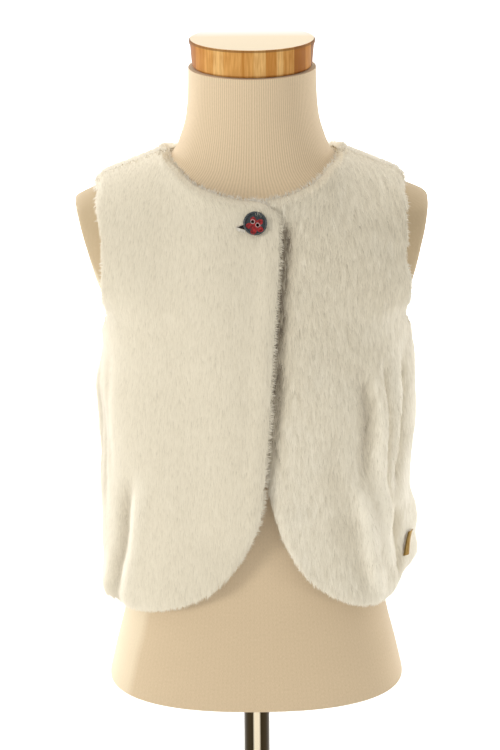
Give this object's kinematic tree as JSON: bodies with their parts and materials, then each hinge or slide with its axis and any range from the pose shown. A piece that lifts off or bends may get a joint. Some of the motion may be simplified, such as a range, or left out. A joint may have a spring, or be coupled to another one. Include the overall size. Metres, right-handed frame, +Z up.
{
  "type": "sleeveless fur gilet on a dress form",
  "caption": "Child's sleeveless, collarless short-pile fur gilet with rounded front hems, closed by a button at the neck, on a padded limbless dress form with a pole and round foot.",
  "frame": {"origin": "on the floor, on the pole's axis, under the middle of the round foot", "axes": "+Z up; the wearer faces -Y, so +X is towards the wearer's left"},
  "size_m": [0.2683, 0.26, 0.7],
  "materials": {
    "fur": "short dense cream pile that lies in soft swirls",
    "button": null,
    "tag": "satin, plain",
    "form_cover": "matte cream jersey, fine upright knit",
    "cap_wood": "satin laminated strips",
    "pole": "polished",
    "foot": "satin"
  },
  "bodies": {
    "root": {"right_front": "fur", "left_front": "fur", "back": "fur", "button": "button", "label": "tag", "form_body": "form_cover", "neck_cap": "cap_wood", "pole": "pole", "base": "foot"}
  },
  "joints": []
}
